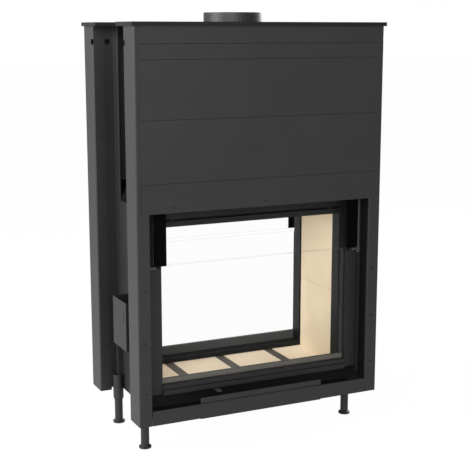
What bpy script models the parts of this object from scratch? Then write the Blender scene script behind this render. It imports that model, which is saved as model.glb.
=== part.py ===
"""Wood-burning tunnel fireplace insert: a steel body on four levelling feet, glass on both long
faces. Each face has a fixed upper pane and a lower glass door that slides up behind the hood,
hung on two cables over pulleys with counterweights inside the columns.

Frame: x = 0 on the centre line, y = 0 at mid depth with the front at -Y, z = 0 on the floor.
Front and rear are alike, so a place is given by its depth behind the nearest face.
Heights named *_LOW and *_HIGH are above the foot of the columns. An *_INSET is measured from the
body's side towards the middle, and a *_DROP from the top of the faces down."""
import math

import bmesh
import bpy

# Clearance between pieces that touch
GAP = 0.0003
OVERRUN = 0.002

# Whole body
BODY_WIDTH = 0.9092
BODY_DEPTH = 0.5033
FACE_HEIGHT = 1.301
FOOT_HEIGHT = 0.117

# Lid: a shallow tray with a turned-down rim, notched beside the recess of each side
LID_RIM = 0.013
LID_SHEET = 0.003
LID_OVERHANG = 0.0064
LID_NOTCH_SETBACK = 0.1467

# Columns: lipped channels of bent sheet
COLUMN_SHEET = 0.0025
COLUMN_BEND = 0.003
COLUMN_DEPTH = 0.0943
COLUMN_FACE = 0.0452
COLUMN_FLANGE = 0.0416
COLUMN_LIP = 0.012
FACE_HOLE_RADIUS = 0.0032
FACE_HOLE_INSET = 0.0246
FACE_HOLE_LOW = 0.1123
FACE_HOLE_PITCH = 0.173
FACE_HOLE_COUNT = 3
CORNER_SLOT = 0.018
CORNER_SLOT_LOW_DROP = 0.062

# Side panels: one folded sheet a side, cut away above the firebox
PANEL_SHEET = 0.0025
PANEL_OUTER_INSET = 0.0766
PANEL_FLANGE_END_INSET = 0.0106
PANEL_LOW = 0.009
PANEL_NOTCH_LOW_DROP = 0.600
PANEL_NOTCH_SETBACK = 0.1332
CABLE_PORT_INNER_INSET = 0.0626
CABLE_PORT_OUTER_INSET = 0.0446

# Flue: smoke dome and collar
COLLAR_RADIUS = 0.1005
COLLAR_WALL = 0.0025
COLLAR_STAND = 0.033
DOME_WALL = 0.003
DOME_TOP_HIGH_DROP = 0.101
DOME_STEPS = 8

# Hood sheets on each face, with a pressed groove at each seam, and the lintel below them
HOOD_HALF_INSET = 0.0166
HOOD_SHEET = 0.002
HOOD_GROOVE = 0.0012
HOOD_GROOVE_WIDTH = 0.003
LINTEL_LOW_DROP = 0.591
LINTEL_HIGH_DROP = 0.542
LINTEL_RETURN = 0.02
HOOD_SEAM_DROPS = (0.496, 0.293, 0.104, 0.055)

# Bottom rails, the plates behind them and the base pan with its outside-air spigot
RAIL_SHEET = 0.004
RAIL_HIGH = 0.050
RAIL_PLATE_SHEET = 0.003
RAIL_PLATE_HALF = 0.232
RAIL_PLATE_SHIFT = -0.003
RAIL_PLATE_LOW = -0.004
RAIL_PLATE_HIGH = 0.070
RAIL_PLATE_CORNER = 0.004
PAN_SHEET = 0.003
PAN_LOW = 0.028
SPIGOT_RADIUS = 0.0625
SPIGOT_WALL = 0.0015
SPIGOT_DROP = 0.025

# Firebox frames: a plate with a deep window and the air-wash slots above it
FRAME_SHEET = 0.004
FRAME_HALF_INSET = 0.0556
FRAME_HIGH_DROP = 0.588
WINDOW_HALF_INSET = 0.1146
WINDOW_LOW = 0.100
WINDOW_HIGH_DROP = 0.653
REVEAL_SHEET = 0.003
REVEAL_DEPTH = 0.131
SILL_LOW = 0.0833
WASH_LOW_DROP = 0.635
WASH_HIGH_DROP = 0.627
WASH_HALF_INSET = 0.1166
WASH_RIB = 0.008
WASH_RIB_PITCH = 0.150

# Firebox floor, lining, hearth and baffle
TRAY_LOW = 0.053
TILE_LOW = 0.058
TILE_HIGH = 0.083
LINING_FACE_INSET = 0.1086
LINING_JOINT = 0.353
LINING_GROOVE = 0.003
LINING_HIGH_DROP = 0.621
HEARTH_BAR_WIDTH = 0.035
HEARTH_BAR_PITCH = 0.2047
HEARTH_STRIP = 0.030
BAFFLE_HALF_INSET = 0.0846
BAFFLE_SMOKE_GAP = 0.0357
BAFFLE_SHEET = 0.020

# Fixed upper pane and its holder
HOLDER_SETBACK = 0.033
HOLDER_SHEET = 0.003
HOLDER_INNER_INSET = 0.1136
HOLDER_OUTER_INSET = 0.0696
HOLDER_SEAT = 0.008
HOLDER_HIGH_DROP = 0.541
PANE_THICKNESS = 0.004
PANE_HALF_INSET = 0.0706
PANE_LOW_DROP = 0.771
PANE_HIGH_DROP = 0.546

# Lower glass door
DOOR_TRAVEL = 0.410
STILE_INNER_INSET = 0.101
STILE_OUTER_INSET = 0.0566
DOOR_LOW = 0.085
DOOR_RAIL_HIGH = 0.117
DOOR_HIGH_DROP = 0.783
DOOR_SETBACK = 0.056
DOOR_FRAME_DEPTH = 0.014
COVER_HALF_INSET = 0.1026
COVER_LOW = 0.083
COVER_SETBACK = 0.047
COVER_STEP = 0.003
COVER_STEP_LOW = 0.100
COVER_GROOVE = 0.003
DOOR_GLASS_HALF_INSET = 0.0896
DOOR_GLASS_LOW = 0.090
DOOR_GLASS_HIGH_DROP = 0.775
RETAINER_INNER_INSET = 0.1096
RETAINER_OUTER_INSET = 0.0946
RETAINER_LOW = 0.086
RETAINER_RAIL_HIGH = 0.133

# Lift gear: brackets, rods, guide shoes and guides
ROD_X_INSET = 0.0546
ROD_SETBACK = 0.050
ROD_RADIUS = 0.0045
ROD_HIGH_DROP = 0.501
KNOB_RADIUS = 0.005
KNOB_HEIGHT = 0.012
NUT_HEIGHT = 0.009
BRACKET_INNER_INSET = 0.0826
BRACKET_MARGIN = 0.0055
BRACKET_HEIGHT = 0.010
SHOE_REACH = 0.010
SHOE_HEIGHT = 0.020
SHOE_LOW = 0.150
SHOE_TOP_LOW_DROP = 0.811
SHOE_WIDTH = 0.0100
SHOE_PLAY = 0.0006
GUIDE_FLANGE = 0.0024
GUIDE_MOUTH_INSET = 0.0546
GUIDE_FLOOR_INSET = 0.0459
GUIDE_OUTER_INSET = 0.0421
GUIDE_LOW = 0.060
GUIDE_END = 0.012

# Pulleys, axles, cables and counterweights
PULLEY_HIGH_DROP = 0.061
PULLEY_PITCH_RADIUS = 0.017
PULLEY_RADIUS = 0.020
PULLEY_GROOVE_RADIUS = 0.0146
PULLEY_WIDTH = 0.012
PULLEY_GROOVE = 0.006
AXLE_RADIUS = 0.004
AXLE_PLAY = 0.0004
CABLE_RADIUS = 0.002
WEIGHT_WIDTH = 0.033
WEIGHT_SETBACK = 0.012
WEIGHT_DEPTH = 0.073
WEIGHT_LOW_DROP = 0.456
WEIGHT_HEIGHT = 0.350

# Air control: a lever through a slot, with its shutter plate behind
LEVER_X = -0.153
LEVER_WIDTH = 0.018
LEVER_SHEET = 0.003
LEVER_LOW = 0.074
LEVER_SETBACK = 0.030
LEVER_TRAVEL = 0.045
LEVER_SLOT_PLAY = 0.0015
SHUTTER_WIDTH = 0.110
SHUTTER_SHEET = 0.002
SHUTTER_LOW = 0.0583
SHUTTER_HIGH = 0.0823

# Cable and terminal box on the left side
SIDE_BOX_START = 0.120
SIDE_BOX_END = 0.250
SIDE_BOX_LOW = 0.228
SIDE_BOX_HIGH = 0.395
SIDE_BOX_SHEET = 0.002
SIDE_BOX_SLOT_WIDTH = 0.003
SIDE_BOX_SLOT_HEIGHT = 0.040
SIDE_BOX_SLOT_DROP = 0.029
SIDE_BOX_SLOT_INSET = 0.023
SIDE_BOX_SLOT_END_INSET = 0.009

# Levelling feet in their sleeves
SLEEVE_RADIUS = 0.0185
SLEEVE_BORE = 0.0150
SLEEVE_LOW = -0.028
SLEEVE_HIGH = 0.065
SLEEVE_CHAMFER = 0.006
FOOT_SETBACK = 0.116
LEG_RADIUS = 0.0145
LEG_HIGH = 0.040
PAD_RADIUS = 0.0215
PAD_EDGE = 0.006
PAD_NECK = 0.004
STAY_WIDTH = 0.020
WELD = 0.001

ROUND_SEGMENTS = 48
BAR_SEGMENTS = 16
SCREW_SEGMENTS = 8
BEND_STEPS = 3

HALF_WIDTH = BODY_WIDTH / 2
HALF_DEPTH = BODY_DEPTH / 2

# Half widths and places across, inside the body's side, then heights, below the face's top
PANEL_OUTER = HALF_WIDTH - PANEL_OUTER_INSET
PANEL_FLANGE_END = HALF_WIDTH - PANEL_FLANGE_END_INSET
CABLE_PORT_INNER = HALF_WIDTH - CABLE_PORT_INNER_INSET
CABLE_PORT_OUTER = HALF_WIDTH - CABLE_PORT_OUTER_INSET
HOOD_HALF = HALF_WIDTH - HOOD_HALF_INSET
FRAME_HALF = HALF_WIDTH - FRAME_HALF_INSET
WINDOW_HALF = HALF_WIDTH - WINDOW_HALF_INSET
WASH_HALF = HALF_WIDTH - WASH_HALF_INSET
LINING_FACE = HALF_WIDTH - LINING_FACE_INSET
BAFFLE_HALF = HALF_WIDTH - BAFFLE_HALF_INSET
HOLDER_INNER = HALF_WIDTH - HOLDER_INNER_INSET
HOLDER_OUTER = HALF_WIDTH - HOLDER_OUTER_INSET
PANE_HALF = HALF_WIDTH - PANE_HALF_INSET
STILE_INNER = HALF_WIDTH - STILE_INNER_INSET
STILE_OUTER = HALF_WIDTH - STILE_OUTER_INSET
COVER_HALF = HALF_WIDTH - COVER_HALF_INSET
DOOR_GLASS_HALF = HALF_WIDTH - DOOR_GLASS_HALF_INSET
RETAINER_INNER = HALF_WIDTH - RETAINER_INNER_INSET
RETAINER_OUTER = HALF_WIDTH - RETAINER_OUTER_INSET
ROD_X = HALF_WIDTH - ROD_X_INSET
BRACKET_INNER = HALF_WIDTH - BRACKET_INNER_INSET
GUIDE_MOUTH = HALF_WIDTH - GUIDE_MOUTH_INSET
GUIDE_FLOOR = HALF_WIDTH - GUIDE_FLOOR_INSET
GUIDE_OUTER = HALF_WIDTH - GUIDE_OUTER_INSET
PANEL_NOTCH_LOW = FACE_HEIGHT - PANEL_NOTCH_LOW_DROP
CORNER_SLOT_LOW = FACE_HEIGHT - CORNER_SLOT_LOW_DROP
DOME_TOP_HIGH = FACE_HEIGHT - DOME_TOP_HIGH_DROP
LINTEL_LOW = FACE_HEIGHT - LINTEL_LOW_DROP
LINTEL_HIGH = FACE_HEIGHT - LINTEL_HIGH_DROP
FRAME_HIGH = FACE_HEIGHT - FRAME_HIGH_DROP
WINDOW_HIGH = FACE_HEIGHT - WINDOW_HIGH_DROP
WASH_LOW = FACE_HEIGHT - WASH_LOW_DROP
WASH_HIGH = FACE_HEIGHT - WASH_HIGH_DROP
LINING_HIGH = FACE_HEIGHT - LINING_HIGH_DROP
HOLDER_HIGH = FACE_HEIGHT - HOLDER_HIGH_DROP
PANE_LOW = FACE_HEIGHT - PANE_LOW_DROP
PANE_HIGH = FACE_HEIGHT - PANE_HIGH_DROP
DOOR_HIGH = FACE_HEIGHT - DOOR_HIGH_DROP
DOOR_GLASS_HIGH = FACE_HEIGHT - DOOR_GLASS_HIGH_DROP
ROD_HIGH = FACE_HEIGHT - ROD_HIGH_DROP
SHOE_TOP_LOW = FACE_HEIGHT - SHOE_TOP_LOW_DROP
PULLEY_HIGH = FACE_HEIGHT - PULLEY_HIGH_DROP
WEIGHT_LOW = FACE_HEIGHT - WEIGHT_LOW_DROP

LID_UNDER = FACE_HEIGHT + LID_RIM - LID_SHEET
COLUMN_HIGH = LID_UNDER - GAP
PANEL_FLANGE_SETBACK = COLUMN_DEPTH - COLUMN_SHEET - GAP - PANEL_SHEET
PANEL_INNER = PANEL_OUTER - PANEL_SHEET
FRAME_BACK = PANEL_FLANGE_SETBACK - GAP
FRAME_SETBACK = FRAME_BACK - FRAME_SHEET
BETWEEN_LIPS = HALF_WIDTH - COLUMN_FACE - GAP
GLASS_SETBACK = DOOR_SETBACK + DOOR_FRAME_DEPTH + GAP
GLASS_BACK = GLASS_SETBACK + PANE_THICKNESS
PULLEY_X = ROD_X + PULLEY_PITCH_RADIUS
WEIGHT_CABLE_X = PULLEY_X + PULLEY_PITCH_RADIUS
SHOE_SETBACK = DOOR_SETBACK + (DOOR_FRAME_DEPTH - SHOE_WIDTH) / 2 + SHOE_PLAY
GUIDE_SETBACK = SHOE_SETBACK - SHOE_PLAY - GUIDE_FLANGE
GUIDE_HIGH = DOOR_HIGH + BRACKET_HEIGHT + DOOR_TRAVEL + GUIDE_END
SLEEVE_X = PANEL_OUTER + SLEEVE_RADIUS - WELD

SIDES = (("front", -1), ("rear", 1))
HANDS = (("left", -1), ("right", 1))


def up(height):
    """Height above the floor of a height above the columns' foot."""
    return FOOT_HEIGHT + height


def inward(side, setback):
    """Y of a place that lies setback behind the front (side -1) or rear (side 1) face."""
    return side * (HALF_DEPTH - setback)


def clear_scene():
    for old in list(bpy.data.objects):
        bpy.data.objects.remove(old, do_unlink=True)


def finish(colour, roughness, metallic=0.0):
    """The look of one piece: base colour, roughness and metallic value."""
    return {"colour": colour, "roughness": roughness, "metallic": metallic}


PAINT = finish((0.045, 0.045, 0.045), 0.55, 0.3)
BLACK_PAINT = finish((0.012, 0.012, 0.012), 0.6, 0.2)
DOOR_PAINT = finish((0.03, 0.03, 0.03), 0.5, 0.3)
CAST_IRON = finish((0.11, 0.09, 0.07), 0.7, 0.3)
CHAMOTTE = finish((0.75, 0.62, 0.45), 0.9)
BRIGHT_STEEL = finish((0.45, 0.45, 0.46), 0.35, 1.0)
RAW_STEEL = finish((0.2, 0.2, 0.21), 0.5, 0.9)
CLEAR_GLASS = finish((0.9, 0.95, 0.95), 0.05)


def box(mesh, x_range, y_range, z_range):
    """A block between two values on each axis, given in any order."""
    x_low, x_high = sorted(x_range)
    y_low, y_high = sorted(y_range)
    z_low, z_high = sorted(z_range)
    outline = [(x_low, y_low), (x_high, y_low), (x_high, y_high), (x_low, y_high)]
    prism(mesh, outline, "z", (z_low, z_high))


def prism(mesh, outline, axis, span):
    """A flat outline carried along an axis. The outline is (x, y) for z, (x, z) for y, (y, z) for x."""
    place = {
        "x": lambda a, b, c: (c, a, b),
        "y": lambda a, b, c: (a, c, b),
        "z": lambda a, b, c: (a, b, c),
    }[axis]
    rings = []
    for level in sorted(span):
        rings.append([mesh.verts.new(place(a, b, level)) for a, b in outline])
    near, far = rings
    faces = [mesh.faces.new(near), mesh.faces.new(far)]
    count = len(outline)
    for i in range(count):
        j = (i + 1) % count
        faces.append(mesh.faces.new((near[i], near[j], far[j], far[i])))
    bmesh.ops.recalc_face_normals(mesh, faces=faces)


def circle(radius, segments, centre=(0, 0)):
    """Points of a circle about a centre."""
    turns = [2 * math.pi * i / segments for i in range(segments)]
    return [(centre[0] + radius * math.cos(t), centre[1] + radius * math.sin(t)) for t in turns]


def loft(mesh, rings, closed):
    """Faces between rings of equal count; closed joins the last ring to the first, else ends are capped."""
    loops = [[mesh.verts.new(point) for point in ring] for ring in rings]
    faces = []
    pairs = list(zip(loops, loops[1:]))
    if closed:
        pairs.append((loops[-1], loops[0]))
    else:
        faces.append(mesh.faces.new(loops[0]))
        faces.append(mesh.faces.new(loops[-1]))
    for lower, upper in pairs:
        count = len(lower)
        for i in range(count):
            j = (i + 1) % count
            faces.append(mesh.faces.new((lower[i], lower[j], upper[j], upper[i])))
    bmesh.ops.recalc_face_normals(mesh, faces=faces)


def turned(mesh, profile, segments, centre, axis="z", closed=False):
    """A round piece from (radius, level) pairs about an axis through centre."""
    rings = []
    for radius, level in profile:
        points = circle(radius, segments)
        if axis == "z":
            rings.append([(centre[0] + a, centre[1] + b, level) for a, b in points])
        else:
            rings.append([(centre[0] + a, level, centre[1] + b) for a, b in points])
    loft(mesh, rings, closed)


def folded(corners, sheet, bend):
    """Outline of bent sheet: a middle line through the corners, rounded by bend and given thickness."""
    middle = [(corners[0], direction(corners[0], corners[1]))]
    for before, corner, after in zip(corners, corners[1:], corners[2:]):
        first = direction(before, corner)
        second = direction(corner, after)
        turn = first[0] * second[1] - first[1] * second[0]
        hand = math.copysign(1, turn)
        centre = (
            corner[0] - first[0] * bend - first[1] * bend * hand,
            corner[1] - first[1] * bend + first[0] * bend * hand,
        )
        for step in range(BEND_STEPS + 1):
            angle = math.pi / 2 * step / BEND_STEPS
            along = (
                first[0] * math.cos(angle) + second[0] * math.sin(angle),
                first[1] * math.cos(angle) + second[1] * math.sin(angle),
            )
            point = (centre[0] + along[1] * bend * hand, centre[1] - along[0] * bend * hand)
            middle.append((point, along))
    middle.append((corners[-1], direction(corners[-2], corners[-1])))
    half = sheet / 2
    left = [(p[0] - a[1] * half, p[1] + a[0] * half) for p, a in middle]
    right = [(p[0] + a[1] * half, p[1] - a[0] * half) for p, a in middle]
    return left + right[::-1]


def direction(start, end):
    """Unit vector between two points of a plane."""
    length = math.dist(start, end)
    return ((end[0] - start[0]) / length, (end[1] - start[1]) / length)


def node(name, mesh, look, parent=None):
    """Turn a mesh into a named object with its own material; a parent empty becomes its origin."""
    if parent:
        bmesh.ops.translate(mesh, verts=mesh.verts, vec=-parent.location)
    data = bpy.data.meshes.new(name)
    mesh.to_mesh(data)
    mesh.free()
    piece = bpy.data.objects.new(name, data)
    bpy.context.scene.collection.objects.link(piece)
    piece.parent = parent
    material = bpy.data.materials.new(name)
    material.use_nodes = True
    shader = material.node_tree.nodes["Principled BSDF"]
    shader.inputs["Base Color"].default_value = (*look["colour"], 1)
    shader.inputs["Roughness"].default_value = look["roughness"]
    shader.inputs["Metallic"].default_value = look["metallic"]
    data.materials.append(material)
    return piece


def pivot(name, location):
    """An empty on a joint's axis, which carries the pieces that move there."""
    empty = bpy.data.objects.new(name, None)
    empty.location = location
    bpy.context.scene.collection.objects.link(empty)
    return empty


def boolean(piece, mesh, operation):
    """Cut or join a piece with a hidden guide mesh."""
    data = bpy.data.meshes.new(piece.name + "_guide")
    mesh.to_mesh(data)
    mesh.free()
    guide = bpy.data.objects.new(piece.name + "_" + operation.lower(), data)
    bpy.context.scene.collection.objects.link(guide)
    guide.hide_render = True
    guide.display_type = "WIRE"
    modifier = piece.modifiers.new(operation.title(), "BOOLEAN")
    modifier.operation = operation
    modifier.solver = "EXACT"
    modifier.object = guide


def smooth(piece):
    """Shade a round piece smooth, with its edges kept sharp."""
    piece.data.shade_smooth()
    piece.data.set_sharp_from_angle(angle=math.radians(35))


def lid_outline(inset):
    """Outline of the lid with its two side notches, drawn in by an inset."""
    width = HALF_WIDTH + LID_OVERHANG - inset
    depth = HALF_DEPTH + LID_OVERHANG - inset
    notch = PANEL_OUTER + LID_OVERHANG - inset
    half = HALF_DEPTH - LID_NOTCH_SETBACK + inset
    right = [(width, -depth), (width, -half), (notch, -half), (notch, half), (width, half), (width, depth)]
    return right + [(-x, -y) for x, y in right]


def make_lid():
    mesh = bmesh.new()
    prism(mesh, lid_outline(0), "z", (up(FACE_HEIGHT), up(FACE_HEIGHT + LID_RIM)))
    lid = node("lid", mesh, PAINT)
    pocket = bmesh.new()
    prism(pocket, lid_outline(LID_SHEET), "z", (up(FACE_HEIGHT) - OVERRUN, up(LID_UNDER)))
    boolean(lid, pocket, "DIFFERENCE")
    hole = bmesh.new()
    top = up(FACE_HEIGHT + LID_RIM) + OVERRUN
    prism(hole, circle(COLLAR_RADIUS + GAP, ROUND_SEGMENTS), "z", (up(FACE_HEIGHT), top))
    boolean(lid, hole, "DIFFERENCE")


def make_flue():
    """Collar for the flue pipe, on a dome that narrows upwards and has a skirt down to each lining."""
    mesh = bmesh.new()
    low = up(DOME_TOP_HIGH) + GAP
    high = up(FACE_HEIGHT + LID_RIM + COLLAR_STAND)
    bore = COLLAR_RADIUS - COLLAR_WALL
    profile = [(COLLAR_RADIUS, low), (COLLAR_RADIUS, high), (bore, high), (bore, low)]
    turned(mesh, profile, ROUND_SEGMENTS, (0, 0), closed=True)
    smooth(node("flue_collar", mesh, PAINT))

    mesh = bmesh.new()
    outer_low = dome_rectangle(PANEL_INNER - GAP, HALF_DEPTH - FRAME_SETBACK)
    inner_low = dome_rectangle(PANEL_INNER - GAP - DOME_WALL, HALF_DEPTH - FRAME_SETBACK - DOME_WALL)
    outer_high = dome_circle(COLLAR_RADIUS)
    inner_high = dome_circle(bore)
    floor = up(FRAME_HIGH) + GAP
    top = up(DOME_TOP_HIGH)
    rings = [lift(outer_low, floor), lift(outer_high, top), lift(inner_high, top), lift(inner_low, floor)]
    loft(mesh, rings, closed=True)
    bmesh.ops.triangulate(mesh, faces=mesh.faces)
    dome = node("smoke_dome", mesh, RAW_STEEL)
    skirts = bmesh.new()
    depth_span = (inward(-1, FRAME_BACK + GAP), inward(1, FRAME_BACK + GAP))
    for _, hand in HANDS:
        outer = hand * (PANEL_INNER - GAP)
        inner = outer - hand * DOME_WALL
        box(skirts, (inner, outer), depth_span, (up(LINING_HIGH) + GAP, floor + WELD))
    boolean(dome, skirts, "UNION")


def dome_rectangle(half_width, half_depth):
    """Points round a rectangle, evenly spaced on each side from the corner at +x, -y."""
    points = []
    for i in range(DOME_STEPS):
        points.append((half_width, half_depth * (2 * i / DOME_STEPS - 1)))
    for i in range(DOME_STEPS):
        points.append((half_width * (1 - 2 * i / DOME_STEPS), half_depth))
    return points + [(-x, -y) for x, y in points]


def dome_circle(radius):
    """The same count of points round a circle, a quarter turn for each side of the rectangle."""
    turns = [math.pi / 2 * (i / DOME_STEPS - 1 / 2) for i in range(4 * DOME_STEPS)]
    return [(radius * math.cos(t), radius * math.sin(t)) for t in turns]


def lift(points, height):
    return [(x, y, height) for x, y in points]


def make_columns():
    half = COLUMN_SHEET / 2
    lip_x = HALF_WIDTH - COLUMN_FACE + half
    web_x = HALF_WIDTH - half
    flange_x = HALF_WIDTH - COLUMN_FLANGE
    corners = [
        (lip_x, COLUMN_LIP),
        (lip_x, half),
        (web_x, half),
        (web_x, COLUMN_DEPTH - half),
        (flange_x, COLUMN_DEPTH - half),
    ]
    outline = folded(corners, COLUMN_SHEET, COLUMN_BEND)
    for side_name, side in SIDES:
        for hand_name, hand in HANDS:
            mesh = bmesh.new()
            placed = [(hand * x, inward(side, depth)) for x, depth in outline]
            prism(mesh, placed, "z", (up(0), up(COLUMN_HIGH)))
            column = node(f"{side_name}_column_{hand_name}", mesh, PAINT)
            cuts = bmesh.new()
            for i in range(FACE_HOLE_COUNT):
                centre = (hand * (HALF_WIDTH - FACE_HOLE_INSET), up(FACE_HOLE_LOW + i * FACE_HOLE_PITCH))
                span = (inward(side, -OVERRUN), inward(side, COLUMN_SHEET + OVERRUN))
                prism(cuts, circle(FACE_HOLE_RADIUS, SCREW_SEGMENTS, centre), "y", span)
            box(
                cuts,
                (hand * (HALF_WIDTH - COLUMN_SHEET - OVERRUN), hand * (HALF_WIDTH + OVERRUN)),
                (inward(side, COLUMN_DEPTH - CORNER_SLOT), inward(side, COLUMN_DEPTH + OVERRUN)),
                (up(CORNER_SLOT_LOW), up(CORNER_SLOT_LOW + CORNER_SLOT)),
            )
            boolean(column, cuts, "DIFFERENCE")


def make_side_frames():
    """Each side is one welded frame: folded panel, two door guides, two pulley pins, two foot sleeves."""
    half = PANEL_SHEET / 2
    flange = HALF_DEPTH - PANEL_FLANGE_SETBACK - half
    corners = [
        (PANEL_FLANGE_END, -flange),
        (PANEL_OUTER - half, -flange),
        (PANEL_OUTER - half, flange),
        (PANEL_FLANGE_END, flange),
    ]
    outline = folded(corners, PANEL_SHEET, COLUMN_BEND)
    for hand_name, hand in HANDS:
        mesh = bmesh.new()
        prism(mesh, [(hand * x, y) for x, y in outline], "z", (up(PANEL_LOW), up(COLUMN_HIGH)))
        panel = node(f"side_frame_{hand_name}", mesh, PAINT)
        for _, side in SIDES:
            welded = bmesh.new()
            add_guide(welded, side, hand)
            centre = (hand * PULLEY_X, up(PULLEY_HIGH))
            ends = (inward(side, COLUMN_SHEET + GAP), inward(side, PANEL_FLANGE_SETBACK + half))
            prism(welded, circle(AXLE_RADIUS, BAR_SEGMENTS, centre), "y", ends)
            boolean(panel, welded, "UNION")
            sleeve = bmesh.new()
            add_sleeve(sleeve, side, hand)
            boolean(panel, sleeve, "UNION")
            stay = bmesh.new()
            inner = PANEL_OUTER - WELD
            box(
                stay,
                (hand * inner, hand * (inner + STAY_WIDTH)),
                (inward(side, FOOT_SETBACK - STAY_WIDTH / 2), inward(side, FOOT_SETBACK + STAY_WIDTH / 2)),
                (up(SLEEVE_HIGH) - WELD, up(SIDE_BOX_LOW) - GAP),
            )
            boolean(panel, stay, "UNION")
        cuts = bmesh.new()
        box(
            cuts,
            (hand * (PANEL_INNER - OVERRUN), hand * (PANEL_OUTER + OVERRUN)),
            (inward(-1, PANEL_NOTCH_SETBACK), inward(1, PANEL_NOTCH_SETBACK)),
            (up(PANEL_NOTCH_LOW), up(COLUMN_HIGH) + OVERRUN),
        )
        for _, side in SIDES:
            box(
                cuts,
                (hand * CABLE_PORT_INNER, hand * CABLE_PORT_OUTER),
                (inward(side, PANEL_FLANGE_SETBACK - OVERRUN), inward(side, COLUMN_DEPTH)),
                (up(CORNER_SLOT_LOW), up(CORNER_SLOT_LOW + CORNER_SLOT)),
            )
        boolean(panel, cuts, "DIFFERENCE")


def add_guide(mesh, side, hand):
    """A vertical channel open towards the door, on a web that reaches back to the panel flange."""
    near = GUIDE_SETBACK
    far = SHOE_SETBACK + SHOE_WIDTH + SHOE_PLAY
    back = PANEL_FLANGE_SETBACK + PANEL_SHEET / 2
    plan = [
        (GUIDE_MOUTH, near),
        (GUIDE_OUTER, near),
        (GUIDE_OUTER, back),
        (GUIDE_FLOOR, back),
        (GUIDE_FLOOR, far + GUIDE_FLANGE),
        (GUIDE_MOUTH, far + GUIDE_FLANGE),
        (GUIDE_MOUTH, far),
        (GUIDE_FLOOR, far),
        (GUIDE_FLOOR, near + GUIDE_FLANGE),
        (GUIDE_MOUTH, near + GUIDE_FLANGE),
    ]
    placed = [(hand * x, inward(side, depth)) for x, depth in plan]
    prism(mesh, placed, "z", (up(GUIDE_LOW), up(GUIDE_HIGH)))


def add_sleeve(mesh, side, hand):
    """A round sleeve for a foot's screw, chamfered at its lower end."""
    low = up(SLEEVE_LOW)
    high = up(SLEEVE_HIGH)
    rim = SLEEVE_BORE + (SLEEVE_RADIUS - SLEEVE_BORE) / 2
    profile = [
        (rim, low),
        (SLEEVE_RADIUS, low + SLEEVE_CHAMFER),
        (SLEEVE_RADIUS, high),
        (SLEEVE_BORE, high),
        (SLEEVE_BORE, low),
    ]
    turned(mesh, profile, BAR_SEGMENTS, (hand * SLEEVE_X, inward(side, FOOT_SETBACK)), closed=True)


def make_hoods():
    """On each face the hood sheet, grooved at its seams, and below it the lintel with its return."""
    outer = -GAP - HOOD_SHEET
    half_groove = HOOD_GROOVE_WIDTH / 2
    for side_name, side in SIDES:
        profile = [(-GAP, COLUMN_HIGH), (-GAP, LINTEL_HIGH + GAP), (outer, LINTEL_HIGH + GAP)]
        for seam in (FACE_HEIGHT - drop for drop in HOOD_SEAM_DROPS):
            profile.append((outer, seam - half_groove))
            profile.append((outer + HOOD_GROOVE, seam))
            profile.append((outer, seam + half_groove))
        profile.append((outer, COLUMN_HIGH))
        mesh = bmesh.new()
        outline = [(inward(side, depth), up(height)) for depth, height in profile]
        prism(mesh, outline, "x", (-HOOD_HALF, HOOD_HALF))
        node(f"{side_name}_hood", mesh, PAINT)
        mesh = bmesh.new()
        span = (inward(side, outer), inward(side, -GAP))
        box(mesh, (-HOOD_HALF, HOOD_HALF), span, (up(LINTEL_LOW), up(LINTEL_HIGH)))
        lintel = node(f"{side_name}_lintel", mesh, PAINT)
        lip = bmesh.new()
        span = (inward(side, -GAP - HOOD_SHEET / 2), inward(side, LINTEL_RETURN))
        box(lip, (-BETWEEN_LIPS, BETWEEN_LIPS), span, (up(LINTEL_LOW), up(LINTEL_LOW + HOOD_SHEET)))
        boolean(lintel, lip, "UNION")


def rounded_top(half, low, high, corner, shift):
    """Outline of a plate whose two upper corners are round."""
    points = [(shift - half, low), (shift + half, low)]
    for sign in (1, -1):
        centre = (shift + sign * (half - corner), high - corner)
        for step in range(BEND_STEPS + 1):
            share = step / BEND_STEPS
            angle = math.pi / 2 * (share if sign > 0 else 1 + share)
            points.append((centre[0] + corner * math.cos(angle), centre[1] + corner * math.sin(angle)))
    return points


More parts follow.
